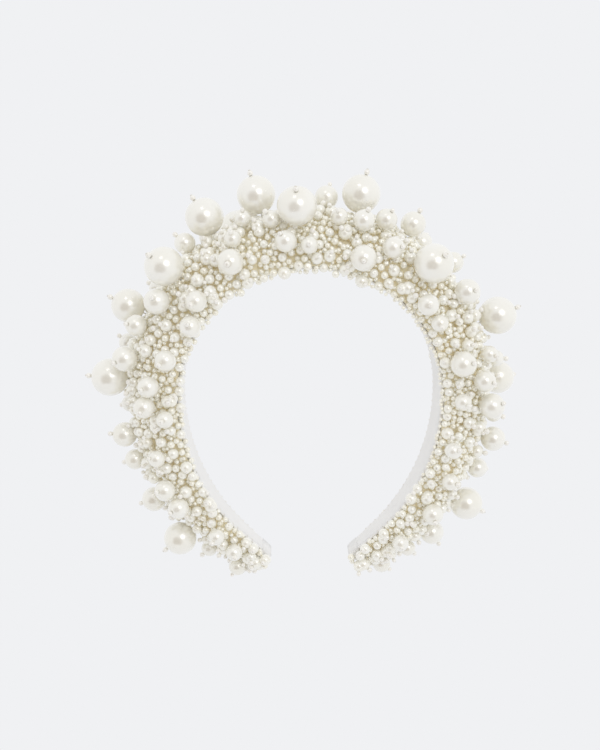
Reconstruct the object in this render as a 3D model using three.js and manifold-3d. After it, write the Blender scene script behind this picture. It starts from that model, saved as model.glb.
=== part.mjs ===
// A wide padded headband crusted with faux pearls.
// Units are millimetres, +Z is up towards the crown and -Y is the front.
// The origin is the centre of the crown's arc, which is about the centre of the wearer's head.
// A "station" is a distance along the inside of the hoop from the top of the crown, negative on
// the left arm and positive on the right arm, as seen from the front. "Around" is the angle across
// the padded dome in degrees: -90 at the front edge, 0 on top and 90 at the back edge.

import * as THREE from 'three';
import { mergeVertices } from 'three/addons/utils/BufferGeometryUtils.js';
import Module from 'manifold-3d';

const wasm = await Module();
wasm.setup();

// ---------------------------------------------------------------- driving dimensions

const CROWN_RADIUS = 61;
const CROWN_SWEEP = THREE.MathUtils.degToRad(87);
const ARM_RADIUS = 92;
const ARM_SWEEP = THREE.MathUtils.degToRad(50);
const TIP_STRAIGHT = 18;
const FLEX_STATION = 60;
const OPENING_ANGLE = THREE.MathUtils.degToRad(22);

const CROWN_HALF_WIDTH = 18;
const TIP_HALF_WIDTH = 6.5;
const CROWN_PAD_HEIGHT = 22;
const TIP_PAD_HEIGHT = 6.5;
const CROWN_CRUST = 3.5;
const TIP_CRUST = 2.5;

const FIT_GAP = 0.3;
const LINING_THICKNESS = 1.2;
const HOOP_THICKNESS = 1.6;
const HOOP_WIDTH_SHARE = 0.62;
const COVER_THICKNESS = 0.8;
const CRUST_BASE = 0.8;
const TIP_WRAP_LENGTH = 6;

const THREAD_RADIUS = 0.4;
const BORE_RADIUS = 0.8;
const KNOT_RADIUS = 1.2;
const KNOT_HEIGHT = 0.9;
const STOP_BEAD_RADIUS = 1.5;
const LARGE_PEARL_STAND_OFF = 1;
const MEDIUM_PEARL_STAND_OFF = 0.4;
const KNOT_REST = 0.1;
const THREAD_HOP = 10;
const THREAD_SWING = 16;
const THREAD_LIFT = 1.3;

// How finely the round pieces are faceted.
const PEARL_BANDS = 7;
const PEARL_FACETS = 10;
const STOP_BEAD_BANDS = 4;
const STOP_BEAD_FACETS = 6;
const MEDIUM_FACETS = 7;
const MEDIUM_BANDS = 5;
const SECTIONS_PER_HOP = 2;

// ---------------------------------------------------------------- worked out from them

const CROWN_LENGTH = CROWN_RADIUS * CROWN_SWEEP;
const ARM_LENGTH = ARM_RADIUS * ARM_SWEEP;
const TIP_STATION = CROWN_LENGTH + ARM_LENGTH + TIP_STRAIGHT;
const WRAP_STATION = TIP_STATION - TIP_WRAP_LENGTH;
const COVER_BASE = LINING_THICKNESS + FIT_GAP;
const HOOP_TOP = COVER_BASE + HOOP_THICKNESS;
const LIP_TOP = COVER_BASE + COVER_THICKNESS;
const HINGE_HEIGHT = COVER_BASE + HOOP_THICKNESS / 2;
const FLEX_LEAN = Math.tan(OPENING_ANGLE / 2);

// Pearls: station, angle around the dome, diameter. The last four large ones are on the back.
const LARGE_PEARLS = [
  [-16, 0, 18], [-32.5, 0, 18], [-4.5, -35, 18], [15, 0, 18], [-50, -30, 18], [43, -48, 18],
  [-68, 0, 16], [-91, 0, 18], [72, 0, 18], [93, 20, 16], [141, 0, 16], [-157, -5, 16],
  [-26, 52, 18], [18, 55, 16], [-106, 50, 16], [98, 62, 16],
];

// Medium pearls are sewn on in runs, one thread to a run.
const MEDIUM_RUNS = {
  crown_front: [
    [-50.5, -73, 10], [-31, -65, 12], [-9.5, -63, 10], [-1, -68, 8], [20, -73, 12],
    [29, -52, 10], [52, -75, 10],
  ],
  crown_top: [
    [-42, 2, 10], [-27, -43, 8], [-13, -35, 8], [-4, -3, 6], [9, -35, 8], [17, -35, 10], [24, -22, 10],
    [33, 0, 12], [51, 10, 10],
  ],
  crown_back: [[-46, 55, 10], [-9, 62, 12], [2, 60, 8], [34, 62, 10], [46, 58, 8]],
  left_front: [
    [-77.5, -75, 10], [-89.5, -62, 10], [-98, -57, 10], [-103, -78, 8], [-120, -58, 8],
    [-134, -52, 10], [-143, -55, 10], [-163, -68, 8], [-174, -65, 8],
  ],
  left_top: [
    [-71, -28, 10], [-82.5, -28, 12], [-102, 20, 8], [-112, 0, 12], [-122, 0, 10],
    [-139, 0, 12], [-153, 30, 6], [-168, 0, 8],
  ],
  left_back: [[-76, 60, 10], [-90, 55, 12], [-122, 60, 8], [-138, 55, 10], [-160, 60, 8]],
  right_front: [
    [80, -71, 12], [89, -48, 10], [99, -38, 12], [118, -75, 8], [132, -63, 8], [148, -60, 10],
    [167, -62, 8],
  ],
  right_top: [
    [81, -32, 8], [105, 0, 8], [114, -5, 12], [127, 5, 10], [142, 32, 6], [158, 5, 12],
    [169, 0, 8],
  ],
  right_back: [
    [76, 55, 10], [84, 85, 8], [98, 92, 6], [114, 75, 10], [130, 60, 8], [146, 55, 10],
    [164, 60, 8],
  ],
};

// ---------------------------------------------------------------- the hoop's curve

// The point and outward normal on the lining's inner face, in the XZ plane.
function hoopFrame(station) {
  const side = station < 0 ? -1 : 1;
  const along = Math.abs(station);
  let angle = along / CROWN_RADIUS;
  let centre = new THREE.Vector2(0, 0);
  let radius = CROWN_RADIUS;
  let run = 0;
  if (along > CROWN_LENGTH) {
    const seam = normalAt(CROWN_SWEEP);
    centre = seam.clone().multiplyScalar(CROWN_RADIUS - ARM_RADIUS);
    radius = ARM_RADIUS;
    angle = CROWN_SWEEP + Math.min(along - CROWN_LENGTH, ARM_LENGTH) / ARM_RADIUS;
    run = Math.max(0, along - CROWN_LENGTH - ARM_LENGTH);
  }
  const normal = normalAt(angle);
  const tangent = new THREE.Vector2(normal.y, -normal.x);
  const point = centre.addScaledVector(normal, radius).addScaledVector(tangent, run);
  const mirror = new THREE.Vector2(side, 1);
  return {
    point: point.multiply(mirror),
    normal: normal.multiply(mirror),
    tangent: tangent.multiply(mirror),
  };
}

function normalAt(angle) {
  return new THREE.Vector2(Math.sin(angle), Math.cos(angle));
}

// How far towards the tip a station is, from 0 to 1.
function reach(station) {
  return Math.abs(station) / TIP_STATION;
}

function taper(crown, tip, station, power) {
  return tip + (crown - tip) * (1 - reach(station) ** power);
}

const halfWidth = (station) => taper(CROWN_HALF_WIDTH, TIP_HALF_WIDTH, station, 2.5);
const padHeight = (station) => taper(CROWN_PAD_HEIGHT, TIP_PAD_HEIGHT, station, 3.6);
const crustDepth = (station) => taper(CROWN_CRUST, TIP_CRUST, station, 3);

// A point at a height above the lining. The lean moves what is above the flex axis along the hoop,
// so the two sides of a flex line open out into a wedge that closes as the arm swings out.
function place(station, across, height, lean = 0) {
  const { point, normal, tangent } = hoopFrame(station);
  const shift = lean * Math.max(0, height - HINGE_HEIGHT);
  const spot = point.addScaledVector(normal, height).addScaledVector(tangent, shift);
  return new THREE.Vector3(spot.x, across, spot.y);
}

// A point over the fabric cover, with the direction that faces away from it.
function overCover(station, around, lift) {
  const angle = THREE.MathUtils.degToRad(around);
  const wide = halfWidth(station);
  const tall = padHeight(station) - COVER_BASE;
  const facing = new THREE.Vector2(Math.sin(angle) / wide, Math.cos(angle) / tall).normalize();
  const across = wide * Math.sin(angle) + facing.x * lift;
  const height = COVER_BASE + tall * Math.cos(angle) + facing.y * lift;
  const { normal } = hoopFrame(station);
  return {
    position: place(station, across, height),
    outward: new THREE.Vector3(normal.x * facing.y, facing.x, normal.y * facing.y).normalize(),
  };
}

// ---------------------------------------------------------------- solids

function signedVolume(geometry) {
  const corner = geometry.attributes.position;
  const index = geometry.index;
  const [a, b, c] = [new THREE.Vector3(), new THREE.Vector3(), new THREE.Vector3()];
  let volume = 0;
  for (let i = 0; i < index.count; i += 3) {
    a.fromBufferAttribute(corner, index.getX(i));
    b.fromBufferAttribute(corner, index.getX(i + 1));
    c.fromBufferAttribute(corner, index.getX(i + 2));
    volume += a.dot(b.cross(c)) / 6;
  }
  return volume;
}

// Keep positions only, merge the shared ones and turn the faces outwards.
function closed(geometry) {
  geometry.deleteAttribute('normal');
  geometry.deleteAttribute('uv');
  const merged = mergeVertices(geometry, 1e-3);
  const kept = [];
  for (let i = 0; i < merged.index.count; i += 3) {
    const corners = [0, 1, 2].map((k) => merged.index.getX(i + k));
    if (new Set(corners).size === 3) {
      kept.push(corners);
    }
  }
  merged.setIndex(kept.flat());
  if (signedVolume(merged) < 0) {
    merged.setIndex(kept.map(([a, b, c]) => [a, c, b]).flat());
  }
  return merged;
}

function toSolid(geometry) {
  const whole = closed(geometry);
  return new wasm.Manifold(new wasm.Mesh({
    numProp: 3,
    vertProperties: new Float32Array(whole.attributes.position.array),
    triVerts: new Uint32Array(whole.index.array),
  }));
}

function fromSolid(solid) {
  const mesh = solid.getMesh();
  const geometry = new THREE.BufferGeometry();
  geometry.setAttribute('position', new THREE.BufferAttribute(mesh.vertProperties, 3));
  geometry.setIndex(new THREE.BufferAttribute(mesh.triVerts, 1));
  geometry.computeVertexNormals();
  return geometry;
}

// Skin a row of closed outlines, each given as [across, height] pairs, and cap both ends.
function loft(stops, outline) {
  const rings = stops.map(({ station, lean }) => (
    outline(station).map(([across, height]) => place(station, across, height, lean))
  ));
  const count = rings[0].length;
  const flat = outline(stops[0].station).map(([across, height]) => new THREE.Vector2(across, height));
  const cap = THREE.ShapeUtils.triangulateShape(flat, []);
  const faces = [];
  for (let ring = 0; ring + 1 < rings.length; ring += 1) {
    for (let k = 0; k < count; k += 1) {
      const a = ring * count + k;
      const b = ring * count + ((k + 1) % count);
      faces.push(a, b, b + count, a, b + count, a + count);
    }
  }
  const last = (rings.length - 1) * count;
  const turned = THREE.ShapeUtils.isClockWise(flat) ? 1 : -1;
  cap.forEach(([a, b, c]) => {
    faces.push(...(turned > 0 ? [a, b, c] : [a, c, b]));
    faces.push(...(turned > 0 ? [last + a, last + c, last + b] : [last + a, last + b, last + c]));
  });
  const geometry = new THREE.BufferGeometry();
  const corners = rings.flat().flatMap((spot) => spot.toArray());
  geometry.setAttribute('position', new THREE.Float32BufferAttribute(corners, 3));
  geometry.setIndex(faces);
  const solid = closed(geometry);
  solid.computeVertexNormals();
  return solid;
}

// ---------------------------------------------------------------- the hoop's three stretches

const SECTIONS_PER_STRETCH = 9;
const DOME_FACETS = 8;

function stretch(start, end, leanStart, leanEnd) {
  const stops = [];
  for (let i = 0; i <= SECTIONS_PER_STRETCH; i += 1) {
    const station = start + (end - start) * i / SECTIONS_PER_STRETCH;
    let lean = 0;
    if (i === 0) {
      lean = leanStart;
    }
    if (i === SECTIONS_PER_STRETCH) {
      lean = leanEnd;
    }
    stops.push({ station, lean });
  }
  return stops;
}

const CROWN_END = FLEX_STATION - FIT_GAP;
const ARM_START = FLEX_STATION + FIT_GAP;
const STRETCHES = {
  crown: stretch(-CROWN_END, CROWN_END, -FLEX_LEAN, -FLEX_LEAN),
  left: stretch(-ARM_START, -WRAP_STATION + FIT_GAP, FLEX_LEAN, 0),
  right: stretch(ARM_START, WRAP_STATION - FIT_GAP, FLEX_LEAN, 0),
};

// ---------------------------------------------------------------- outlines across the band

// The part of half an ellipse that lies above a cut, from the front over the top to the back.
function dome(wide, base, top, cut = base) {
  const outline = [];
  const limit = Math.acos((cut - base) / (top - base));
  for (let i = 0; i <= DOME_FACETS; i += 1) {
    const angle = limit * (2 * i / DOME_FACETS - 1);
    outline.push([wide * Math.sin(angle), base + (top - base) * Math.cos(angle)]);
  }
  return outline;
}

function slab(wide, base, top) {
  return [[-wide, base], [-wide, top], [wide, top], [wide, base]];
}

function liningOutline(station) {
  return slab(halfWidth(station) - 2 * FIT_GAP, 0, LINING_THICKNESS);
}

function hoopOutline(station) {
  return slab(halfWidth(station) * HOOP_WIDTH_SHARE, COVER_BASE, HOOP_TOP);
}

function foamOutline(station) {
  const skin = COVER_THICKNESS + 2 * FIT_GAP;
  return dome(halfWidth(station) - skin, LIP_TOP, padHeight(station) - skin, HOOP_TOP + FIT_GAP);
}

// The cover goes over the foam and turns in under both edges, beside the hoop.
function coverOutline(station) {
  const wide = halfWidth(station);
  const tall = padHeight(station);
  const skin = COVER_THICKNESS + FIT_GAP;
  const lip = wide * HOOP_WIDTH_SHARE + 2 * FIT_GAP;
  return [
    ...dome(wide, COVER_BASE, tall),
    [lip, COVER_BASE],
    [lip, LIP_TOP],
    ...dome(wide - skin, LIP_TOP, tall - COVER_THICKNESS).reverse(),
    [-lip, LIP_TOP],
    [-lip, COVER_BASE],
  ];
}

function crustOutline(station) {
  const wide = halfWidth(station) + FIT_GAP;
  const tall = padHeight(station) + FIT_GAP;
  const depth = crustDepth(station);
  return [
    ...dome(wide + depth, CRUST_BASE, tall + depth),
    ...dome(wide, CRUST_BASE, tall).reverse(),
  ];
}

function tipOutline(station) {
  return dome(halfWidth(station), 0, padHeight(station));
}

// ---------------------------------------------------------------- pearls and beads

// The distance of a pearl's centre from the cover.
function largePearlLift(station, diameter) {
  return FIT_GAP + crustDepth(station) + LARGE_PEARL_STAND_OFF + diameter / 2;
}

function mediumPearlLift(station, diameter) {
  return FIT_GAP + crustDepth(station) + MEDIUM_PEARL_STAND_OFF + diameter / 2;
}

// A drilled ball, its bore along the lathe's axis.
function pearlGeometry(diameter) {
  const radius = diameter / 2;
  const poleAngle = Math.PI / 2 - Math.asin(BORE_RADIUS / radius);
  const profile = [];
  for (let i = 0; i <= PEARL_BANDS; i += 1) {
    const angle = -poleAngle + 2 * poleAngle * i / PEARL_BANDS;
    profile.push(new THREE.Vector2(radius * Math.cos(angle), radius * Math.sin(angle)));
  }
  profile.push(profile[0].clone());
  return closed(new THREE.LatheGeometry(profile, PEARL_FACETS));
}

// The thread with its knot under the pearl and the stop bead over it, measured from the cover.
// A clearance swells it all round, to cut its way out of the crust.
function stopBeadGeometry(station, diameter, clearance) {
  const lift = largePearlLift(station, diameter);
  const beadCentre = lift + diameter / 2 + FIT_GAP + STOP_BEAD_RADIUS;
  const knotBase = FIT_GAP + KNOT_REST - clearance;
  const knotTop = FIT_GAP + KNOT_REST + KNOT_HEIGHT + clearance;
  const stem = THREAD_RADIUS + clearance;
  const bead = STOP_BEAD_RADIUS + clearance;
  const profile = [
    new THREE.Vector2(0, knotBase),
    new THREE.Vector2(KNOT_RADIUS + clearance, knotBase),
    new THREE.Vector2(KNOT_RADIUS + clearance, knotTop),
    new THREE.Vector2(stem, knotTop),
  ];
  const startAngle = -Math.acos(stem / bead);
  for (let i = 0; i <= STOP_BEAD_BANDS; i += 1) {
    const angle = startAngle + (Math.PI / 2 - startAngle) * i / STOP_BEAD_BANDS;
    const across = i === STOP_BEAD_BANDS ? 0 : bead * Math.cos(angle);
    profile.push(new THREE.Vector2(across, beadCentre + bead * Math.sin(angle)));
  }
  return closed(new THREE.LatheGeometry(profile, STOP_BEAD_FACETS));
}

const LATHE_AXIS = new THREE.Vector3(0, 1, 0);

function standUp(object, station, around, lift) {
  const { position, outward } = overCover(station, around, lift);
  object.position.copy(position);
  object.quaternion.setFromUnitVectors(LATHE_AXIS, outward);
  object.updateMatrix();
}

// A solid of revolution standing on the cover, for cutting.
function standingSolid(geometry, station, around) {
  const holder = new THREE.Object3D();
  standUp(holder, station, around, 0);
  return toSolid(geometry.applyMatrix4(holder.matrix));
}

function ballSolid(station, around, diameter) {
  const ball = new THREE.SphereGeometry(diameter / 2, MEDIUM_FACETS, MEDIUM_BANDS);
  const { position } = overCover(station, around, mediumPearlLift(station, diameter));
  return toSolid(ball.translate(position.x, position.y, position.z));
}

// The sewing thread of one run lies over the crust and goes through the foot of every pearl.
function threadSolid(run) {
  const spots = [];
  for (let i = 0; i + 1 < run.length; i += 1) {
    const [station, around] = run[i];
    const [nextStation, nextAround] = run[i + 1];
    const along = Math.round(Math.abs(nextStation - station) / THREAD_HOP);
    const across = Math.round(Math.abs(nextAround - around) / THREAD_SWING);
    const hops = Math.max(1, along, across);
    for (let hop = i === 0 ? 0 : 1; hop <= hops; hop += 1) {
      const here = THREE.MathUtils.lerp(station, nextStation, hop / hops);
      const angle = THREE.MathUtils.lerp(around, nextAround, hop / hops);
      const lift = FIT_GAP + crustDepth(here) + THREAD_LIFT;
      spots.push(overCover(here, angle, lift).position);
    }
  }
  const section = new THREE.Shape();
  section.moveTo(THREAD_RADIUS, 0);
  section.lineTo(0, THREAD_RADIUS);
  section.lineTo(-THREAD_RADIUS, 0);
  section.lineTo(0, -THREAD_RADIUS);
  section.closePath();
  const path = new THREE.CatmullRomCurve3(spots);
  const steps = SECTIONS_PER_HOP * (spots.length - 1);
  return toSolid(new THREE.ExtrudeGeometry(section, { extrudePath: path, steps }));
}

function runSolid(run) {
  return run.reduce(
    (joined, [station, around, diameter]) => joined.add(ballSolid(station, around, diameter)),
    threadSolid(run),
  );
}

// ---------------------------------------------------------------- materials

function material(color, roughness, metalness = 0) {
  return new THREE.MeshStandardMaterial({ color, roughness, metalness });
}

const FINISH = {
  pearl: () => material(0xeee7da, 0.22, 0.05),
  seed: () => material(0xe6ddcb, 0.4),
  thread: () => material(0xefe9dc, 0.6),
  cover: () => material(0xe9e2d2, 0.7),
  lining: () => material(0xdcdad4, 0.9),
  hoop: () => material(0xd9d6cf, 0.5),
  foam: () => material(0xf2efe6, 1),
};

// ---------------------------------------------------------------- assembly

const headband = new THREE.Group();

function addPiece(name, geometry, finish) {
  const mesh = new THREE.Mesh(geometry, finish());
  mesh.name = name;
  headband.add(mesh);
  return mesh;
}

function addLayers(where, stops) {
  addPiece(`inner_lining_${where}`, loft(stops, liningOutline), FINISH.lining);
  addPiece(`spring_hoop_${where}`, loft(stops, hoopOutline), FINISH.hoop);
  addPiece(`foam_pad_${where}`, loft(stops, foamOutline), FINISH.foam);
  addPiece(`fabric_cover_${where}`, loft(stops, coverOutline), FINISH.cover);
}

// The crust is bored for the large pearls' threads and knots.
function addCrust(where, stops) {
  let crust = toSolid(loft(stops, crustOutline));
  LARGE_PEARLS.forEach(([station, around, diameter]) => {
    const stem = stopBeadGeometry(station, diameter, FIT_GAP);
    crust = crust.subtract(standingSolid(stem, station, around));
  });
  addPiece(`seed_bead_crust_${where}`, fromSolid(crust), FINISH.seed);
}

function addTipWrap(where, side) {
  const stops = [WRAP_STATION, TIP_STATION].map((station) => ({ station: side * station, lean: 0 }));
  addPiece(`tip_wrap_${where}`, loft(stops, tipOutline), FINISH.lining);
}

function addLargePearl([station, around, diameter], i) {
  const label = String(i + 1).padStart(2, '0');
  const pearl = addPiece(`large_pearl_${label}`, pearlGeometry(diameter), FINISH.pearl);
  standUp(pearl, station, around, largePearlLift(station, diameter));
  const stop = stopBeadGeometry(station, diameter, 0);
  standUp(addPiece(`stop_bead_${label}`, stop, FINISH.pearl), station, around, 0);
}

Object.entries(STRETCHES).forEach(([where, stops]) => {
  addLayers(where, stops);
  addCrust(where, stops);
});
addTipWrap('left', -1);
addTipWrap('right', 1);
LARGE_PEARLS.forEach(addLargePearl);
Object.entries(MEDIUM_RUNS).forEach(([where, run]) => {
  addPiece(`medium_pearls_${where}`, fromSolid(runSolid(run)), FINISH.pearl);
});

export default headband;
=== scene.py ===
"""The looks of a padded headband crusted with ivory faux pearls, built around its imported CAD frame.

Lengths are metres. +Z is up, -Y is the front, and the origin is the centre of the crown's arc. A "station"
is a distance along the lining from the top of the crown, negative on the left arm. "Around" is the angle
across the padded dome in degrees: -90 at the front edge, 0 on top, 90 at the back edge.
"""

import math

import bpy
import numpy as np
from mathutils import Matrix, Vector


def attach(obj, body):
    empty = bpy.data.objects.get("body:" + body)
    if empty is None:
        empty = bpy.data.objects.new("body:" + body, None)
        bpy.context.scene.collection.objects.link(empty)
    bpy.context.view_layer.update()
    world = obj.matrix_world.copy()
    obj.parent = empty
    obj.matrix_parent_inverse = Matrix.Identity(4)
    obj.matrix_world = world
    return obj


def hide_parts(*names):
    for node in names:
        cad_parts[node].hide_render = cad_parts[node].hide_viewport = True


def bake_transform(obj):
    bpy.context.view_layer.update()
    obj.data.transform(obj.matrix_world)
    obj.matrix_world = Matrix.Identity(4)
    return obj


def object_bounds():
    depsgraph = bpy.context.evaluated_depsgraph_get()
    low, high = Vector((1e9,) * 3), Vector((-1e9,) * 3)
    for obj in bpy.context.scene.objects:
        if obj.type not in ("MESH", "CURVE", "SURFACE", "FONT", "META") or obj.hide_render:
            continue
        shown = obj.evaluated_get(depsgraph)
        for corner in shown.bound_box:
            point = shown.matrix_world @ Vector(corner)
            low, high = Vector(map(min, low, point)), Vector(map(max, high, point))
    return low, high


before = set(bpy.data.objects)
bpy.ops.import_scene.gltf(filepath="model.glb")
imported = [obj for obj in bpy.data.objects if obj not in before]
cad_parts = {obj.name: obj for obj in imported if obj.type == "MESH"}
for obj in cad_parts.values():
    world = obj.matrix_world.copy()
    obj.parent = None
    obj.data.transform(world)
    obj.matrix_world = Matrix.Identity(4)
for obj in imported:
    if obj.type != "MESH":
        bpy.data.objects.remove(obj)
cad_low, cad_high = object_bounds()

MM = 0.001
SIDES = {"left": -1, "right": 1}

# The hoop's curve and the pad's section, as in the CAD model.
CROWN_RADIUS = 61 * MM
CROWN_SWEEP = math.radians(87)
ARM_RADIUS = 92 * MM
ARM_SWEEP = math.radians(50)
TIP_STRAIGHT = 18 * MM
CROWN_LENGTH = CROWN_RADIUS * CROWN_SWEEP
ARM_LENGTH = ARM_RADIUS * ARM_SWEEP
TIP_STATION = CROWN_LENGTH + ARM_LENGTH + TIP_STRAIGHT
CROWN_HALF_WIDTH, TIP_HALF_WIDTH = 18 * MM, 6.5 * MM
CROWN_PAD_HEIGHT, TIP_PAD_HEIGHT = 22 * MM, 6.5 * MM
CROWN_CRUST, TIP_CRUST = 3.5 * MM, 2.5 * MM
FIT_GAP = 0.3 * MM
LINING_THICKNESS = 1.2 * MM
COVER_BASE = LINING_THICKNESS + FIT_GAP
HOOP_TOP = COVER_BASE + 1.6 * MM
HOOP_WIDTH_SHARE = 0.62
COVER_THICKNESS = 0.8 * MM
WRAP_LENGTH = 6 * MM
WRAP_STATION = TIP_STATION - WRAP_LENGTH

# How the pearls stand on the crust, and what holds them.
LARGE_STAND_OFF = 1 * MM
MEDIUM_STAND_OFF = 0.4 * MM
STOP_BEAD_RADIUS = 1.35 * MM
THREAD_RADIUS = 0.3 * MM
STOPPED_FROM = 4.4 * MM

# Large pearls in the order of their CAD nodes: station, around, diameter in millimetres and degrees.
LARGE_PEARLS = [
    (-16, 0, 18), (-32.5, 0, 18), (-4.5, -35, 18), (15, 0, 18), (-50, -30, 18), (43, -48, 18),
    (-68, 0, 16), (-91, 0, 18), (72, 0, 18), (93, 20, 16), (141, 0, 16), (-157, -5, 16),
    (-26, 52, 18), (18, 55, 16), (-106, 50, 16), (98, 62, 16),
]

# Medium pearls: the front and top of the crown, the left arm, the right arm, then the back.
MEDIUM_PEARLS = [
    (-50.5, -73, 10), (-31, -65, 12), (-9.5, -63, 10), (-1, -68, 8), (20, -73, 12), (29, -52, 10),
    (52, -75, 10), (-42, 2, 10), (-27, -43, 8), (-13, -35, 8), (9, -35, 8), (17, -35, 10),
    (24, -22, 10), (33, 0, 12), (51, 10, 10), (5, 5, 11), (-22, -20, 8), (58.5, -33, 12), (61, -76, 8),
    (-60, -42, 12), (-60, -83, 10), (-71, -28, 10), (-77.5, -75, 10), (-82.5, -28, 12),
    (-80, 14, 9), (-89.5, -62, 10), (-98, -57, 10), (-103, -78, 8), (-102, 20, 8), (-112, 0, 12),
    (-122, 0, 10), (-120, -58, 8), (-134, -52, 10), (-139, 0, 12), (-143, -55, 10), (-163, -68, 8),
    (-168, 0, 8), (-174, -65, 8), (-183, -10, 9),
    (80, -71, 12), (81, -32, 8), (85, 0, 8), (89, -48, 10), (96, -73, 8), (99, -38, 12),
    (105, 0, 8), (114, -5, 12), (118, -75, 8), (127, 5, 10), (132, -63, 8), (148, -60, 10),
    (158, 5, 12), (167, -62, 8), (169, 0, 8), (183, 0, 9),
    (-46, 55, 10), (-9, 62, 12), (2, 60, 8), (34, 62, 10), (46, 58, 8), (-36, 28, 8), (40, 28, 10),
    (0, 30, 10), (-72, 55, 10), (-90, 55, 12), (-122, 60, 8), (-138, 55, 10), (-160, 60, 8),
    (-148, 25, 8), (-60, 30, 9), (62, 42, 10), (76, 60, 10), (84, 84, 8), (114, 75, 10),
    (118, 35, 9), (130, 60, 8), (146, 55, 10), (164, 60, 8), (150, 25, 8),
]


# ---------------------------------------------------------------- the hoop's curve and the dome


def hoop_frame(station):
    """The lining's inner face at each station: point, outward normal and tangent, as X and Z."""
    station = np.atleast_1d(np.asarray(station, float))
    along = np.abs(station)
    side = np.where(station < 0, -1.0, 1.0)
    on_crown = along <= CROWN_LENGTH
    bend = np.clip(along - CROWN_LENGTH, 0, ARM_LENGTH) / ARM_RADIUS
    angle = np.where(on_crown, along / CROWN_RADIUS, CROWN_SWEEP + bend)
    normal = np.stack([np.sin(angle), np.cos(angle)], 1)
    tangent = np.stack([np.cos(angle), -np.sin(angle)], 1)
    seam = np.array([math.sin(CROWN_SWEEP), math.cos(CROWN_SWEEP)])
    centre = np.where(on_crown[:, None], 0.0, seam * (CROWN_RADIUS - ARM_RADIUS))
    radius = np.where(on_crown, CROWN_RADIUS, ARM_RADIUS)
    run = np.maximum(0, along - CROWN_LENGTH - ARM_LENGTH)
    point = centre + normal * radius[:, None] + tangent * run[:, None]
    mirror = np.stack([side, np.ones_like(side)], 1)
    return point * mirror, normal * mirror, tangent * mirror


def taper(crown, tip, station, power):
    reach = np.minimum(1, np.abs(station) / TIP_STATION)
    return tip + (crown - tip) * (1 - reach**power)


def half_width(station):
    return taper(CROWN_HALF_WIDTH, TIP_HALF_WIDTH, station, 2.5)


def pad_height(station):
    return taper(CROWN_PAD_HEIGHT, TIP_PAD_HEIGHT, station, 3.6)


def crust_depth(station):
    return taper(CROWN_CRUST, TIP_CRUST, station, 3)


def place(station, across, height):
    """Points at a height above the lining's inner face."""
    point, normal, _ = hoop_frame(station)
    spot = point + normal * np.reshape(height, (-1, 1))
    across = np.broadcast_to(across, len(spot))
    return np.stack([spot[:, 0], across, spot[:, 1]], 1)


def over_cover(station, around, lift):
    """Points over the fabric cover, with the directions that face away from it."""
    station = np.atleast_1d(np.asarray(station, float))
    angle = np.radians(np.atleast_1d(np.asarray(around, float)))
    wide = half_width(station)
    tall = pad_height(station) - COVER_BASE
    facing = np.stack([np.sin(angle) / wide, np.cos(angle) / tall], 1)
    facing /= np.linalg.norm(facing, axis=1, keepdims=True)
    across = wide * np.sin(angle) + facing[:, 0] * lift
    height = COVER_BASE + tall * np.cos(angle) + facing[:, 1] * lift
    _, normal, _ = hoop_frame(station)
    outward = np.stack([normal[:, 0] * facing[:, 1], facing[:, 0], normal[:, 1] * facing[:, 1]], 1)
    return place(station, across, height), outward


def height_over_lining(station, around, lift):
    """How far over_cover's points lie above the lining's inner face."""
    angle = np.radians(around)
    wide = half_width(station)
    tall = pad_height(station) - COVER_BASE
    share = np.cos(angle) / tall / np.hypot(np.sin(angle) / wide, np.cos(angle) / tall)
    return COVER_BASE + tall * np.cos(angle) + share * lift


# ---------------------------------------------------------------- camera, floor and light

CAMERA_DISTANCE = 0.56
CAMERA_AZIMUTH = math.radians(-1.3)
CAMERA_ELEVATION = math.radians(12.5)
CAMERA_ASIDE, CAMERA_RISE = -4.8 * MM, 7.9 * MM
FLOOR_DROP, FLOOR_RADIUS = 0.9, 2.0
BACKGROUND = (0.797, 0.809, 0.835, 1)
# The picture is developed soft, with its shadows lifted.
DEVELOP_GAMMA = 1.65


def direction(azimuth, elevation):
    """The unit vector towards a place seen from the origin, azimuth 0 being the front."""
    flat = math.cos(elevation)
    return Vector((math.sin(azimuth) * flat, -math.cos(azimuth) * flat, math.sin(elevation)))


def make_camera():
    data = bpy.data.cameras.new("camera")
    data.sensor_width = 36
    data.lens = 56
    camera = bpy.data.objects.new("camera", data)
    bpy.context.scene.collection.objects.link(camera)
    back = direction(CAMERA_AZIMUTH, CAMERA_ELEVATION)
    turn = back.to_track_quat("Z", "Y")
    camera.rotation_euler = turn.to_euler()
    aside = turn @ Vector((CAMERA_ASIDE, CAMERA_RISE, 0))
    camera.location = back * CAMERA_DISTANCE + aside
    bpy.context.scene.camera = camera


def node_tree(material):
    material.use_nodes = True
    return material.node_tree


def make_stage():
    """A round pale floor, well below the headband, which hangs in the air as it does in its studio shot."""
    edge = [direction(2 * math.pi * i / 96, 0) * FLOOR_RADIUS for i in range(96)]
    mesh = bpy.data.meshes.new("floor")
    mesh.from_pydata([(x, y, cad_low[2] - FLOOR_DROP) for x, y, _ in edge], [], [tuple(range(96))])
    stage = bpy.data.objects.new("floor", mesh)
    bpy.context.scene.collection.objects.link(stage)
    material = bpy.data.materials.new("pale_paper")
    tree = node_tree(material)
    tree.nodes.clear()
    glow = tree.nodes.new("ShaderNodeEmission")
    glow.inputs["Color"].default_value = BACKGROUND
    out = tree.nodes.new("ShaderNodeOutputMaterial")
    tree.links.new(glow.outputs[0], out.inputs["Surface"])
    mesh.materials.append(material)


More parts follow.
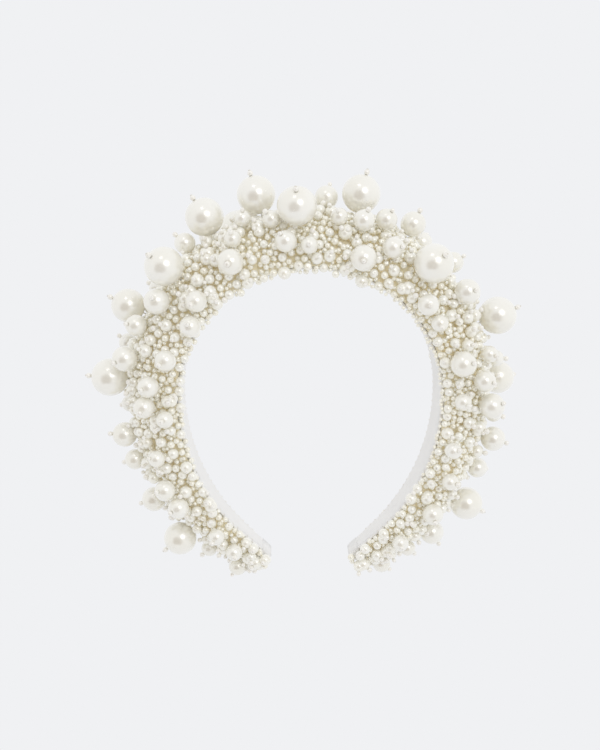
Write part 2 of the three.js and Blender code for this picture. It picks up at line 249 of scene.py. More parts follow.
def add_softbox(name, azimuth, elevation, distance, size, power):
    data = bpy.data.lights.new(name, "AREA")
    data.shape = "DISK"
    data.size = size
    data.energy = power
    light = bpy.data.objects.new(name, data)
    towards = direction(math.radians(azimuth), math.radians(elevation))
    light.location = towards * distance
    light.rotation_euler = towards.to_track_quat("Z", "Y").to_euler()
    bpy.context.scene.collection.objects.link(light)


def make_world():
    """A bright tent with one dim patch in front, which the pearls mirror. Seen directly it is plain."""
    world = bpy.data.worlds.new("tent")
    bpy.context.scene.world = world
    world.use_nodes = True
    tree = world.node_tree
    tree.nodes.clear()
    where = tree.nodes.new("ShaderNodeTexCoord")
    dot = tree.nodes.new("ShaderNodeVectorMath")
    dot.operation = "DOT_PRODUCT"
    dot.inputs[1].default_value = direction(math.radians(-17), math.radians(-6))
    tree.links.new(where.outputs["Generated"], dot.inputs[0])
    ramp = tree.nodes.new("ShaderNodeValToRGB")
    ramp.color_ramp.interpolation = "EASE"
    ramp.color_ramp.elements[0].position = 0.74
    ramp.color_ramp.elements[0].color = (0.86, 0.865, 0.875, 1)
    ramp.color_ramp.elements[1].position = 0.95
    ramp.color_ramp.elements[1].color = (0.17, 0.10, 0.035, 1)
    tree.links.new(dot.outputs["Value"], ramp.inputs["Fac"])
    tent = tree.nodes.new("ShaderNodeBackground")
    tree.links.new(ramp.outputs["Color"], tent.inputs["Color"])
    plain = tree.nodes.new("ShaderNodeBackground")
    plain.inputs["Color"].default_value = BACKGROUND
    ray = tree.nodes.new("ShaderNodeLightPath")
    choice = tree.nodes.new("ShaderNodeMixShader")
    tree.links.new(ray.outputs["Is Camera Ray"], choice.inputs[0])
    tree.links.new(tent.outputs[0], choice.inputs[1])
    tree.links.new(plain.outputs[0], choice.inputs[2])
    out = tree.nodes.new("ShaderNodeOutputWorld")
    tree.links.new(choice.outputs[0], out.inputs["Surface"])


def make_lights():
    add_softbox("key_softbox", 20, 27, 1.6, 0.90, 4.1)
    add_softbox("fill_softbox", -22, 58, 1.6, 0.30, 0.7)
    make_world()
    bpy.context.scene.view_settings.view_transform = "Standard"
    bpy.context.scene.view_settings.gamma = DEVELOP_GAMMA
    # Light reaches the bottom of the crust only after many bounces from bead to bead.
    paths = bpy.context.scene.cycles
    paths.max_bounces = 20
    paths.diffuse_bounces = 16
    paths.glossy_bounces = 8


# ---------------------------------------------------------------- materials


def principled(name, roughness, **constants):
    """A material with its shader, its texture place and the constants set on the shader itself."""
    material = bpy.data.materials.new(name)
    tree = node_tree(material)
    shader = tree.nodes["Principled BSDF"]
    shader.inputs["Roughness"].default_value = roughness
    for socket, value in constants.items():
        shader.inputs[socket.replace("_", " ").title().replace("Ior", "IOR")].default_value = value
    return material, tree, shader


def noise(tree, coordinate, scale, detail=2.0):
    place_node = tree.nodes.new("ShaderNodeTexCoord")
    texture = tree.nodes.new("ShaderNodeTexNoise")
    texture.inputs["Scale"].default_value = scale
    texture.inputs["Detail"].default_value = detail
    tree.links.new(place_node.outputs[coordinate], texture.inputs["Vector"])
    return texture.outputs["Fac"]


def tint(tree, shader, factor, stops):
    """Colour the surface by a factor, through stops of (position, colour)."""
    ramp = tree.nodes.new("ShaderNodeValToRGB")
    elements = ramp.color_ramp.elements
    while len(elements) < len(stops):
        elements.new(0.5)
    for element, (position, colour) in zip(elements, stops):
        element.position = position
        element.color = (*colour, 1)
    tree.links.new(factor, ramp.inputs["Fac"])
    tree.links.new(ramp.outputs["Color"], shader.inputs["Base Color"])


def bump(tree, shader, height, depth, strength=1.0):
    node = tree.nodes.new("ShaderNodeBump")
    node.inputs["Strength"].default_value = strength
    node.inputs["Distance"].default_value = depth
    tree.links.new(height, node.inputs["Height"])
    tree.links.new(node.outputs["Normal"], shader.inputs["Normal"])


def vary_roughness(tree, shader, factor, low, high):
    span = tree.nodes.new("ShaderNodeMapRange")
    span.inputs["To Min"].default_value = low
    span.inputs["To Max"].default_value = high
    tree.links.new(factor, span.inputs["Value"])
    tree.links.new(span.outputs["Result"], shader.inputs["Roughness"])


def nacre(name, lustre, light, dark, scale, low, high, gloss=0.13):
    """A pearlised coat: clouded ivory under a thin clear lacquer."""
    material, tree, shader = principled(
        name, 0.3, metallic=lustre, coat_weight=1.0, coat_roughness=gloss, coat_ior=1.9
    )
    clouds = noise(tree, "Object", scale, 3)
    tint(tree, shader, clouds, [(0.36, dark), (0.64, light)])
    vary_roughness(tree, shader, noise(tree, "Object", scale * 6), low, high)
    bump(tree, shader, noise(tree, "Object", 1400, 1), 0.02 * MM, 0.35)
    return material


def weave(tree, across, along):
    """Threads of a cloth, as a height, from the piece's own UV map in metres."""
    coordinate = tree.nodes.new("ShaderNodeTexCoord")
    bands = []
    for axis, scale in (("X", along), ("Y", across)):
        wave = tree.nodes.new("ShaderNodeTexWave")
        wave.bands_direction = axis
        wave.inputs["Scale"].default_value = scale
        wave.inputs["Distortion"].default_value = 1.2
        wave.inputs["Detail"].default_value = 1
        tree.links.new(coordinate.outputs["UV"], wave.inputs["Vector"])
        bands.append(wave.outputs["Fac"])
    both = tree.nodes.new("ShaderNodeMath")
    both.operation = "MULTIPLY"
    tree.links.new(bands[0], both.inputs[0])
    tree.links.new(bands[1], both.inputs[1])
    return both.outputs[0]


def cloth_material(name, light, dark, roughness, sheen, across, along, depth):
    material, tree, shader = principled(name, roughness, sheen_weight=sheen, sheen_roughness=0.5)
    tint(tree, shader, noise(tree, "Object", 90, 4), [(0.3, dark), (0.7, light)])
    bump(tree, shader, weave(tree, across, along), depth)
    return material


def plastic_material(name, light, dark):
    material, tree, shader = principled(name, 0.45)
    tint(tree, shader, noise(tree, "Object", 120, 3), [(0.3, dark), (0.7, light)])
    vary_roughness(tree, shader, noise(tree, "Object", 700), 0.38, 0.55)
    return material


def foam_material(name, light, dark):
    material, tree, shader = principled(name, 0.95)
    cells = noise(tree, "Object", 900, 4)
    tint(tree, shader, cells, [(0.35, dark), (0.65, light)])
    bump(tree, shader, cells, 0.3 * MM)
    return material


def make_materials():
    return {
        "pearl": nacre("nacre_pearl", 0.30, (0.935, 0.915, 0.825), (0.905, 0.875, 0.755), 70, 0.2, 0.3),
        "small": nacre("nacre_small", 0.28, (0.965, 0.95, 0.85), (0.95, 0.915, 0.775), 160, 0.18, 0.28, 0.09),
        "seed": nacre("nacre_seed", 0.30, (0.99, 0.975, 0.85), (0.98, 0.925, 0.735), 260, 0.16, 0.26, 0.07),
        "stop": nacre("nacre_stop", 0.10, (0.96, 0.935, 0.86), (0.93, 0.885, 0.78), 300, 0.28, 0.4),
        # The cover's golden colour is partly the satin's own and partly painted shade: a deep warm tan, so
        # the gaps between the beads look like warm, shaded crevices.
        "cover": cloth_material(
            "satin_tinted_with_crevice_shade", (0.96, 0.87, 0.58), (0.94, 0.80, 0.48), 0.6, 0.3, 420, 420, 0.08 * MM
        ),
        "lining": cloth_material(
            "ribbon_lining", (0.86, 0.85, 0.83), (0.81, 0.80, 0.785), 0.85, 0.4, 90, 480, 0.10 * MM
        ),
        "hoop": plastic_material("spring_plastic", (0.80, 0.79, 0.75), (0.72, 0.71, 0.67)),
        "foam": foam_material("pad_foam", (0.88, 0.86, 0.80), (0.76, 0.73, 0.66)),
        "thread": cloth_material(
            "sewing_thread", (0.86, 0.82, 0.72), (0.74, 0.69, 0.58), 0.7, 0.3, 600, 600, 0.05 * MM
        ),
    }


# ---------------------------------------------------------------- meshes


def add_object(name, verts, faces, material, uvs=None):
    """An object from points and lists of corners, smooth shaded."""
    mesh = bpy.data.meshes.new(name)
    sizes = np.concatenate([np.full(len(block), block.shape[1]) for block in faces])
    corners = np.concatenate([block.ravel() for block in faces]).astype(np.int32)
    starts = np.concatenate([[0], np.cumsum(sizes)[:-1]]).astype(np.int32)
    mesh.vertices.add(len(verts))
    mesh.vertices.foreach_set("co", np.asarray(verts, np.float32).ravel())
    mesh.loops.add(len(corners))
    mesh.loops.foreach_set("vertex_index", corners)
    mesh.polygons.add(len(sizes))
    mesh.polygons.foreach_set("loop_start", starts)
    mesh.update(calc_edges=True)
    mesh.validate()
    if uvs is not None:
        layer = mesh.uv_layers.new(name="cloth")
        layer.data.foreach_set("uv", np.asarray(uvs, np.float32)[corners].ravel())
    mesh.shade_smooth()
    mesh.materials.append(material)
    obj = bpy.data.objects.new(name, mesh)
    bpy.context.scene.collection.objects.link(obj)
    return obj


def grid_faces(rows, columns, closed):
    """Quads between the points of neighbouring rows. A closed row joins its last point to its first."""
    across = np.arange(columns if closed else columns - 1)
    nearby = (across + 1) % columns
    row = np.arange(rows - 1)[:, None] * columns
    quads = np.stack(
        [row + across, row + nearby, row + columns + nearby, row + columns + across], -1
    )
    return quads.reshape(-1, 4)


def loft(name, stations, outline, material):
    """A closed body through an outline of (across, height) rows at every station."""
    rings = [outline(s) for s in stations]
    count = len(rings[0])
    verts = np.concatenate([place(np.full(count, s), r[:, 0], r[:, 1]) for s, r in zip(stations, rings)])
    turns = np.concatenate([np.cumsum(np.hypot(*(r - np.roll(r, 1, 0)).T)) for r in rings])
    uvs = np.stack([np.repeat(stations, count), turns], 1)
    side = grid_faces(len(rings), count, True)
    last = (len(rings) - 1) * count
    first_cap = np.arange(count)[None, ::-1]
    last_cap = np.arange(count)[None] + last
    faces = [side, first_cap, last_cap]
    if stations[-1] < 0:
        faces = [block[:, ::-1] for block in faces]
    return add_object(name, verts, faces, material, uvs)


def dome(wide, base, top, points, cut=None):
    """The part of half an ellipse above a cut, from front to back."""
    limit = math.pi / 2 if cut is None else math.acos((cut - base) / (top - base))
    angle = np.linspace(-limit, limit, points)
    return np.stack([wide * np.sin(angle), base + (top - base) * np.cos(angle)], 1)


def rounded_slab(wide, base, top, corner_points=4):
    """A flat strip with half-round edges, clockwise from the lower front."""
    middle, radius = (base + top) / 2, (top - base) / 2
    angle = np.linspace(0, math.pi, corner_points * 2)
    back = np.stack([wide - radius + radius * np.sin(angle), middle + radius * np.cos(angle)], 1)
    front = np.stack([-wide + radius - radius * np.sin(angle), middle - radius * np.cos(angle)], 1)
    floor = np.linspace(wide - radius, -wide + radius, 8)[1:-1]
    under = np.stack([floor, np.full(6, base)], 1)
    over = np.stack([floor[::-1], np.full(6, top)], 1)
    return np.concatenate([front, over, back, under])


# ---------------------------------------------------------------- the layers of the band

LAYER_STATIONS = 72


def stations_to(side, end):
    """Evenly spaced stations from the top of the crown to an arm's end."""
    return side * np.linspace(0, end, LAYER_STATIONS)


def lining_outline(station):
    """A ribbon whose edges wander a little and whose face is slightly puckered by its glue line."""
    wander = 0.25 * MM * math.sin(station * 310) * math.sin(station * 97 + 1)
    outline = rounded_slab(half_width(station) - 2 * FIT_GAP + wander, 0, LINING_THICKNESS)
    pucker = 0.12 * MM * np.sin(station * 420 + outline[:, 0] * 260)
    low = outline[:, 1] < LINING_THICKNESS / 2
    outline[:, 1] += np.where(low, np.abs(pucker), 0)
    return outline


def hoop_outline(station):
    return rounded_slab(half_width(station) * HOOP_WIDTH_SHARE, COVER_BASE, HOOP_TOP)


def foam_outline(station):
    skin = COVER_THICKNESS + 2 * FIT_GAP
    base = COVER_BASE + COVER_THICKNESS
    top = pad_height(station) - skin
    return dome(half_width(station) - skin, base, top, 22, HOOP_TOP + FIT_GAP)


def wrap_outline(station):
    """The folded cloth end, gathered in small pleats and rounded over at the very tip."""
    left_over = (TIP_STATION - abs(station)) / (1.6 * MM)
    shrink = 1.0 if left_over >= 1 else 0.80 + 0.20 * math.sqrt(max(0.0, 1 - (1 - left_over) ** 2))
    outline = dome(half_width(station) + 0.1 * MM, 0, pad_height(station), 34)
    pleat = 0.12 * MM * np.sin(np.linspace(0, 34, 34)) * (1 - abs(2 * left_over - 1) * 0.1)
    middle = np.array([0, pad_height(station) * 0.45])
    reach = np.linalg.norm(outline - middle, axis=1, keepdims=True)
    return middle + (outline - middle) * (shrink + pleat[:, None] / reach)


COVER_ACROSS = 33
# The cloth is sewn down at one point in so many rows and columns, each row's points moved along.
SEWN_ROWS, SEWN_COLUMNS, SEWN_SHIFT = 6, 8, 4
CLOTH_STEPS = 20


def cover_grid(side):
    """The stretched cloth as an open sheet: its points, the way out of each and its UVs."""
    stations = stations_to(side, WRAP_STATION - FIT_GAP)
    angle = np.linspace(-90, 90, COVER_ACROSS)
    station = np.repeat(stations, COVER_ACROSS)
    around = np.tile(angle, LAYER_STATIONS)
    points, outward = over_cover(station, around, np.zeros(len(station)))
    uvs = np.stack([station, np.radians(around) * 20 * MM], 1)
    return points, outward, uvs


def swell(points, side, name):
    """Let the padding press the cloth out between the places where it is sewn down."""
    rows, columns = LAYER_STATIONS, COVER_ACROSS
    sheet = add_object(name, points, [grid_faces(rows, columns, False)[:, ::side]], None)
    row, column = np.divmod(np.arange(rows * columns), columns)
    edge = (row == 0) | (row == rows - 1) | (column == 0) | (column == columns - 1)
    shifted = column + row // SEWN_ROWS * SEWN_SHIFT
    sewn = (row % SEWN_ROWS == SEWN_ROWS // 2) & (shifted % SEWN_COLUMNS == SEWN_COLUMNS // 2)
    pins = sheet.vertex_groups.new(name="sewn")
    pins.add(np.nonzero(edge | sewn)[0].tolist(), 1.0, "REPLACE")
    cloth = sheet.modifiers.new("cloth", "CLOTH")
    settings = cloth.settings
    settings.quality = 6
    settings.mass = 0.15
    settings.tension_stiffness = 12
    settings.bending_stiffness = 0.4
    settings.vertex_group_mass = "sewn"
    settings.use_pressure = True
    settings.uniform_pressure_force = 4
    settings.effector_weights.gravity = 0
    cloth.point_cache.frame_end = CLOTH_STEPS
    scene = bpy.context.scene
    for step in range(1, CLOTH_STEPS + 1):
        scene.frame_set(step)
    graph = bpy.context.evaluated_depsgraph_get()
    settled = sheet.evaluated_get(graph).to_mesh()
    found = np.empty(len(points) * 3, np.float32)
    settled.vertices.foreach_get("co", found)
    mesh = sheet.data
    bpy.data.objects.remove(sheet)
    bpy.data.meshes.remove(mesh)
    scene.frame_set(1)
    return found.reshape(-1, 3).astype(float)


SWELL_LIMIT = 0.9 * MM


def make_cover(where, side, material):
    points, outward, uvs = cover_grid(side)
    moved = np.einsum("ij,ij->i", swell(points, side, f"cover_sheet_{where}") - points, outward)
    points = points + outward * np.clip(moved, 0, SWELL_LIMIT)[:, None]
    inner = points - outward * COVER_THICKNESS
    rows, columns = LAYER_STATIONS, COVER_ACROSS
    outer_faces = grid_faces(rows, columns, False)
    inner_faces = outer_faces[:, ::-1] + len(points)
    row_starts = np.arange(rows) * columns
    border = np.concatenate([
        np.arange(columns), row_starts[1:] + columns - 1,
        np.arange(columns - 2, -1, -1) + row_starts[-1], row_starts[-2:0:-1],
    ])
    ahead = np.roll(border, -1)
    rim = np.stack([border, border + len(points), ahead + len(points), ahead], 1)
    faces = [block[:, ::side] for block in (outer_faces, inner_faces, rim)]
    return add_object(
        f"satin_cover_{where}", np.concatenate([points, inner]), faces, material, np.tile(uvs, (2, 1))
    )


def tube(points, radius, sides):
    """Points and faces of a closed tube along a short path."""
    points = np.asarray(points, float)
    along = np.gradient(points, axis=0)
    along /= np.linalg.norm(along, axis=1, keepdims=True)
    aside = np.cross(along, [0.31, 0.82, 0.48])
    aside /= np.linalg.norm(aside, axis=1, keepdims=True)
    above = np.cross(along, aside)
    angle = np.linspace(0, 2 * math.pi, sides, endpoint=False)
    ring = aside[:, None] * np.cos(angle)[None, :, None] + above[:, None] * np.sin(angle)[None, :, None]
    verts = (points[:, None] + ring * radius).reshape(-1, 3)
    last = (len(points) - 1) * sides
    caps = np.stack([np.arange(sides)[::-1], np.arange(sides) + last])
    return verts, grid_faces(len(points), sides, True), caps


def join_tubes(name, tubes, material):
    verts, faces, start = [], [], 0
    for points, walls, ends in tubes:
        verts.append(points)
        faces.append(walls + start)
        faces.append(ends + start)
        start += len(points)
    verts = np.concatenate(verts)
    uvs = np.stack([verts[:, 0], verts[:, 1]], 1)
    return add_object(name, verts, faces, material, uvs)


STITCH_SPACING = 3.2 * MM
STITCH_LEAN = 1.1 * MM
STITCH_MARGIN = 2 * MM
STITCH_RADIUS = 0.17 * MM
# A stitch's four points: how far each is past the cover's edge, how high over the lining's inner
# face, and how far along the lean.
STITCH_PAST_EDGE = (-2.0 * MM, -0.9 * MM, -0.2 * MM, 0.25 * MM)
STITCH_HEIGHTS = (0.15 * MM, -0.18 * MM, 0.45 * MM, 1.75 * MM)
STITCH_SHARES = (-0.5, -0.2, 0.2, 0.5)


def make_stitches(where, side, material):
    """Slanting whip stitches that hold the ribbon's two edges to the cover."""
    tubes = []
    count = int((WRAP_STATION - 2 * STITCH_MARGIN) / STITCH_SPACING)
    for i in range(count):
        station = side * (STITCH_MARGIN + i * STITCH_SPACING)
        for edge in (-1, 1):
            across = edge * (half_width(station) + np.array(STITCH_PAST_EDGE))
            lean = station + side * STITCH_LEAN * np.array(STITCH_SHARES)
            tubes.append(tube(place(lean, across, STITCH_HEIGHTS), STITCH_RADIUS, 6))
    return join_tubes(f"lining_stitches_{where}", tubes, material)


# ---------------------------------------------------------------- beads


def ball_template(rings, segments, bore):
    """A unit ball drilled along Z: points, quads and triangles. The bore is a share of the radius."""
    hole = math.asin(bore)
    rise = np.linspace(-math.pi / 2 + hole, math.pi / 2 - hole, rings)
    turn = np.linspace(0, 2 * math.pi, segments, endpoint=False)
    radius = np.repeat(np.cos(rise), segments)
    angle = np.tile(turn, rings)
    body = np.stack([radius * np.cos(angle), radius * np.sin(angle), np.repeat(np.sin(rise), segments)], 1)
    pit = 0.45
    verts = np.concatenate([body, [[0, 0, -pit], [0, 0, pit]]])
    around = np.arange(segments)
    nearby = (around + 1) % segments
    last = (rings - 1) * segments
    bottom = np.stack([np.full(segments, len(body)), nearby, around], 1)
    top = np.stack([np.full(segments, len(body) + 1), last + around, last + nearby], 1)
    return verts, grid_faces(rings, segments, True), np.concatenate([bottom, top])


def balls_mesh(name, centres, radii, axes, template, material):
    """One mesh of many drilled balls. Their centres are kept with it, one for each vertex."""
    unit, quads, tris = template
    helper = np.where(np.abs(axes[:, 2:3]) < 0.9, [[0.0, 0.0, 1.0]], [[1.0, 0.0, 0.0]])
    east = np.cross(helper, axes)
    east /= np.linalg.norm(east, axis=1, keepdims=True)
    north = np.cross(axes, east)
    basis = np.stack([east, north, axes], 1) * radii[:, None, None]
    verts = (centres[:, None] + np.einsum("vk,nkc->nvc", unit, basis)).reshape(-1, 3)
    starts = (np.arange(len(centres)) * len(unit))[:, None, None]
    faces = [(quads[None] + starts).reshape(-1, 4), (tris[None] + starts).reshape(-1, 3)]
    obj = add_object(name, verts, faces, material)
    return obj, np.repeat(centres, len(unit), 0)


LARGE_TEMPLATE = ball_template(30, 48, 0.09)
MEDIUM_TEMPLATE = ball_template(18, 28, 0.13)
SMALL_TEMPLATE = ball_template(11, 16, 0.18)
SEED_TEMPLATE = ball_template(7, 10, 0.26)
STOP_TEMPLATE = ball_template(9, 14, 0.26)


# How far round the dome the small beads reach in front and at the back, how far the back ones keep
# above the lining's face, and how far beads reach past the ends of the band.
FRONT_EDGE, BACK_EDGE = 96, 92
BACK_RISE = 1.2 * MM
TIP_OVERHANG = 0.5 * MM
# On the right shoulder and arm only the finest beads reach the front edge, so the lining shows.
EDGE_BEAD_RADIUS = 1.05 * MM
FRONT_EDGE_STATIONS = (24 * MM, 44 * MM, 112 * MM, 140 * MM)
FRONT_EDGE_ANGLES = (FRONT_EDGE, 89, 89, FRONT_EDGE)
# Beads higher than LOW_LIFT keep this clear of the large pearls, and BITE is how much two beads
# may be pressed together.
LOW_LIFT = 3.2 * MM
LARGE_CLEARANCE = 2.5 * MM
BITE = 0.12 * MM
MEDIUM_TILT = math.radians(22)
# Beads at least this wide are small pearls, and the others are seeds.
SMALL_FROM = 3.9 * MM

# The passes that fill the crust: how many tries, the beads' least and greatest diameters, the least
# and greatest heights of their feet over the cover, and how far they tilt. All lengths are in mm.
BEAD_PASSES = [
    (420, 4.9, 6.4, 0.8, 2.0, 0.5),
    (1600, 3.9, 4.8, 0.6, 2.2, 0.7),
    (3500, 3.2, 3.8, 0.6, 2.2, 1.0),
    (40000, 2.6, 3.1, 0.0, 0.5, 1.0),
    (40000, 2.6, 3.1, 1.7, 2.4, 1.0),
    (40000, 2.2, 2.5, 0.4, 2.6, 1.0),
    (40000, 1.7, 2.0, 0.8, 2.8, 1.0),
]


def tilted(rng, outward, most):
    """Directions near the given ones, turned by up to about that many radians."""
    found = outward + rng.uniform(-1, 1, outward.shape) * math.tan(most)
    return found / np.linalg.norm(found, axis=1, keepdims=True)


class Packing:
    """Balls placed so that none digs into another, looked up through a grid of cells."""

    CELL = 5 * MM

    def __init__(self):
        self.centres, self.radii, self.axes, self.stations = [], [], [], []
        self.cells = {}
        self.wide = []

    def cell(self, spot):
        return tuple(int(math.floor(v / self.CELL)) for v in spot)

    def add(self, centre, radius, axis, station):
        index = len(self.centres)
        self.centres.append(centre)
        self.radii.append(radius)
        self.axes.append(axis)
        self.stations.append(station)
        if 2 * radius > self.CELL:
            self.wide.append(index)
        else:
            self.cells.setdefault(self.cell(centre), []).append(index)

    def clear_of_wide(self, centres, radii, bite):
        """Which of these balls miss every ball too large for the grid."""
        wide = np.array([self.centres[i] for i in self.wide])
        reach = np.array([self.radii[i] for i in self.wide])
        gap = np.linalg.norm(centres[:, None] - wide[None], axis=2)
        return (gap > (radii[:, None] + reach[None]) - bite).all(1)

    def far_from_large(self, centres):
        """Which of these balls aren't piled against the side of a large pearl."""
        large = np.array(self.centres[: len(LARGE_PEARLS)])
        reach = np.array(self.radii[: len(LARGE_PEARLS)])
        gap = np.linalg.norm(centres[:, None] - large[None], axis=2)
        return (gap > reach[None] + LARGE_CLEARANCE).all(1)

    def clear_of_small(self, centre, radius, bite):
        x, y, z = self.cell(centre)
        for i in range(x - 1, x + 2):
            for j in range(y - 1, y + 2):
                for k in range(z - 1, z + 2):
                    for other in self.cells.get((i, j, k), ()):
                        spot = self.centres[other]
                        reach = radius + self.radii[other] - bite
                        gap = (
                            (centre[0] - spot[0]) ** 2 + (centre[1] - spot[1]) ** 2
                            + (centre[2] - spot[2]) ** 2
                        )
                        if gap < reach * reach:
                            return False
        return True

    def scatter(self, rng, tries, sizes, heights, lean):
        """Try balls of sizes (low, high) with their feet at heights (low, high) over the cover."""
        station = rng.uniform(-TIP_STATION - TIP_OVERHANG, TIP_STATION + TIP_OVERHANG, tries)
        around = rng.uniform(-FRONT_EDGE, BACK_EDGE, tries)
        radii = rng.uniform(*sizes, tries) / 2
        lift = radii + rng.uniform(*heights, tries) * crust_depth(station) / CROWN_CRUST
        centres, outward = over_cover(station, around, lift)
        axes = tilted(rng, outward, lean)
        rise = height_over_lining(station, around, lift)
        good = self.clear_of_wide(centres, radii, BITE)
        good &= (around < 0) | (rise > radii + BACK_RISE)
        edge = np.interp(station, FRONT_EDGE_STATIONS, FRONT_EDGE_ANGLES)
        good &= (around > -edge) | (radii < EDGE_BEAD_RADIUS)
        good &= (lift < LOW_LIFT) | self.far_from_large(centres)
        for i in np.nonzero(good)[0]:
            if self.clear_of_small(centres[i], radii[i], BITE):
                self.add(centres[i], radii[i], axes[i], station[i])




def fixed_pearls(rows, stand_off):
    """Centres, radii and axes of the pearls whose places are listed."""
    rows = np.array(rows, float)
    station, around, diameter = rows[:, 0] * MM, rows[:, 1], rows[:, 2] * MM
    lift = FIT_GAP + crust_depth(station) + stand_off + diameter / 2
    centres, outward = over_cover(station, around, lift)
    return station, centres, diameter / 2, outward


def pack_beads(rng):
    """Every bead of the crust: the listed pearls first, then smaller and smaller ones."""
    packing = Packing()
    station, centres, radii, outward = fixed_pearls(LARGE_PEARLS, LARGE_STAND_OFF)
    for i in range(len(station)):
        packing.add(centres[i], radii[i], outward[i], station[i])
    large = len(packing.centres)
    station, centres, radii, outward = fixed_pearls(MEDIUM_PEARLS, MEDIUM_STAND_OFF)
    axes = tilted(rng, outward, MEDIUM_TILT)
    for i in range(len(station)):
        packing.add(centres[i], radii[i], axes[i], station[i])
    medium = len(packing.centres)
    for tries, least, greatest, lowest, highest, lean in BEAD_PASSES:
        packing.scatter(rng, tries, (least * MM, greatest * MM), (lowest * MM, highest * MM), lean)
    return packing, large, medium


# ---------------------------------------------------------------- assembly


def bend(obj, side, centres=None):
    """Bake a piece's placement into its mesh; given centres, it does no more."""
    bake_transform(obj)
    if centres is None:
        return


def finish_piece(obj, slot_name, *nodes):
    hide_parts(*nodes)


def both(stem, side):
    return f"{stem}_{side}", f"{stem}_crown"


def make_layers(materials):
    for where, side in SIDES.items():
        end = WRAP_STATION - FIT_GAP
        tucked = stations_to(side, WRAP_STATION + 1 * MM)
        lining = loft(f"ribbon_lining_{where}", tucked, lining_outline, materials["lining"])
        finish_piece(lining, "lining_fabric", *both("inner_lining", where))
        hoop = loft(f"spring_strip_{where}", stations_to(side, end), hoop_outline, materials["hoop"])
        finish_piece(hoop, "hoop_plastic", *both("spring_hoop", where))
        foam = loft(f"foam_core_{where}", stations_to(side, end), foam_outline, materials["foam"])
        finish_piece(foam, "foam", *both("foam_pad", where))
        cover = make_cover(where, side, materials["cover"])
        finish_piece(cover, "cover_fabric", *both("fabric_cover", where))
        stitches = make_stitches(where, side, materials["thread"])
        for piece in (lining, hoop, foam, cover, stitches):
            bend(piece, where)
        wrap = loft(
            f"folded_tip_{where}",
            side * np.linspace(WRAP_STATION, TIP_STATION, 24),
            wrap_outline,
            materials["lining"],
        )
        finish_piece(wrap, "lining_fabric", f"tip_wrap_{where}")
        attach(wrap, f"{where}_arm")


# Shares of the stop bead's radius: the thread loop's half width, how far the loop and the stem end
# below the bead's top, and the loop's rise. Then the thread's thickness in the loop and the knot.
LOOP_HALF_WIDTH, LOOP_DROP, STEM_DROP, LOOP_RISE = 0.42, 0.4, 0.3, 0.5
LOOP_THREAD, KNOT_THREAD = 0.5, 2.6
KNOT_POINTS = (0.0, 0.4 * MM, 0.8 * MM)


def stop_thread(centre, radius, axis, foot, stop_radius):
    """The doubled thread through a pearl, over its stop bead and back, and the knot under it."""
    aside = np.cross(axis, [0.2, 0.9, 0.3])
    aside /= np.linalg.norm(aside)
    top = radius + 2 * stop_radius
    loop = []
    for share in np.linspace(0, 1, 9):
        angle = math.pi * share
        swing = aside * math.cos(angle) * stop_radius * LOOP_HALF_WIDTH
        height = top + stop_radius * (LOOP_RISE * math.sin(angle) - LOOP_DROP)
        loop.append(centre + swing + axis * height)
    stem = [centre - axis * (radius + foot), centre, centre + axis * (top - stop_radius * STEM_DROP)]
    knot = [centre - axis * (radius + foot - rise) for rise in KNOT_POINTS]
    return [
        tube(stem, THREAD_RADIUS, 8),
        tube(loop, THREAD_RADIUS * LOOP_THREAD, 6),
        tube(knot, THREAD_RADIUS * KNOT_THREAD, 10),
    ]


def make_large_pearls(packing, count, materials):
    for i in range(count):
        centre, radius = packing.centres[i], packing.radii[i]
        axis, station = packing.axes[i], packing.stations[i]
        side = "left" if station < 0 else "right"
        label = f"{i + 1:02d}"
        pearl, centres = balls_mesh(
            f"ivory_pearl_{label}", centre[None], np.array([radius]), axis[None], LARGE_TEMPLATE,
            materials["pearl"],
        )
        finish_piece(pearl, "pearl", f"large_pearl_{label}")
        bend(pearl, side, centres)
        stop_centre = centre + axis * (radius + STOP_BEAD_RADIUS * 0.92)
        stop, centres = balls_mesh(
            f"stop_seed_{label}", stop_centre[None], np.array([STOP_BEAD_RADIUS]), axis[None],
            STOP_TEMPLATE, materials["stop"],
        )
        finish_piece(stop, "stop_bead", f"stop_bead_{label}")
        bend(stop, side, np.repeat(centre[None], len(centres), 0))
        foot = FIT_GAP + float(crust_depth(station)) * 0.9
        thread = join_tubes(
            f"pearl_thread_{label}",
            stop_thread(centre, radius, axis, foot, STOP_BEAD_RADIUS),
            materials["thread"],
        )
        bend(thread, side, np.repeat(centre[None], len(thread.data.vertices), 0))


# The stretches of station, in mm, that each have their own piece of beads.
WHOLE_ARM = (0, 200)
ZONES = {"crown": (0, 30), "shoulder": (30, 64), "side": (64, 110), "end": (110, 200)}


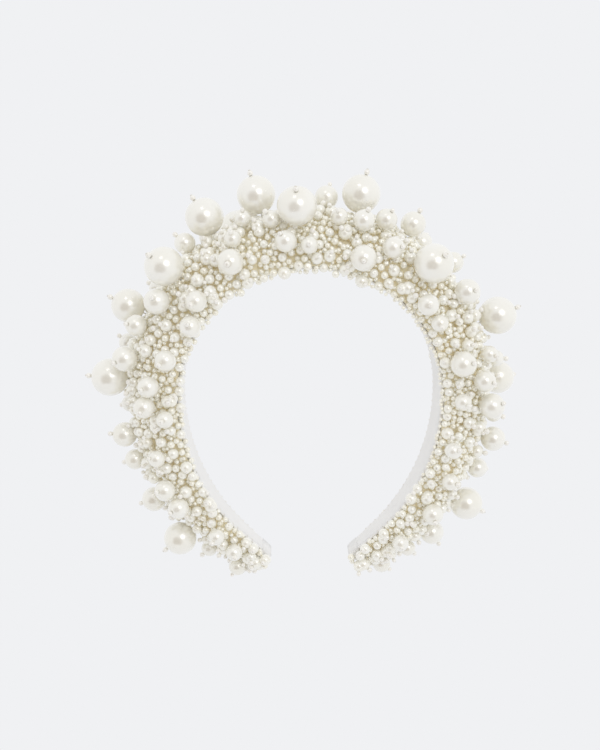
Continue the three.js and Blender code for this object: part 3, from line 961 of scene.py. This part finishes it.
def in_zone(stations, side, low, high):
    along = np.abs(stations)
    return (np.sign(stations + 1e-9) == side) & (along >= low * MM) & (along < high * MM)


def make_crust(packing, large, medium, rng, materials):
    """The medium, small and seed beads, with the stop beads on all but the smallest."""
    centres, radii = np.array(packing.centres), np.array(packing.radii)
    axes, stations = np.array(packing.axes), np.array(packing.stations)
    index = np.arange(len(centres))
    runs = ("front", "top", "back")
    for where, side in SIDES.items():
        chosen = (index >= large) & (index < medium) & in_zone(stations, side, *WHOLE_ARM)
        piece, owners = balls_mesh(
            f"medium_pearls_{where}", centres[chosen], radii[chosen], axes[chosen], MEDIUM_TEMPLATE,
            materials["pearl"],
        )
        nodes = [f"medium_pearls_{part}_{run}" for part in (where, "crown") for run in runs]
        finish_piece(piece, "pearl", *nodes)
        bend(piece, where, owners)
        stopped = (index >= large) & (radii * 2 >= STOPPED_FROM) & in_zone(stations, side, *WHOLE_ARM)
        stop_radii = rng.uniform(0.95, 1.35, stopped.sum()) * MM
        stop_centres = centres[stopped] + axes[stopped] * (radii[stopped] + stop_radii * 0.8)[:, None]
        piece, owners = balls_mesh(
            f"stop_seeds_{where}", stop_centres, stop_radii, axes[stopped], STOP_TEMPLATE,
            materials["stop"],
        )
        bend(piece, where, np.repeat(centres[stopped], len(STOP_TEMPLATE[0]), 0))
        for zone, (low, high) in ZONES.items():
            here = (index >= medium) & in_zone(stations, side, low, high)
            for kind, chosen, template in (
                ("small_pearls", here & (radii * 2 >= SMALL_FROM), SMALL_TEMPLATE),
                ("seed_beads", here & (radii * 2 < SMALL_FROM), SEED_TEMPLATE),
            ):
                piece, owners = balls_mesh(
                    f"{kind}_{where}_{zone}", centres[chosen], radii[chosen], axes[chosen], template,
                    materials["small" if kind == "small_pearls" else "seed"],
                )
                finish_piece(piece, "seed_bead", *both("seed_bead_crust", where))
                bend(piece, where, owners)


def build():
    make_camera()
    make_stage()
    make_lights()
    materials = make_materials()
    make_layers(materials)
    rng = np.random.default_rng(20)
    packing, large, medium = pack_beads(rng)
    make_large_pearls(packing, large, materials)
    make_crust(packing, large, medium, rng, materials)


build()
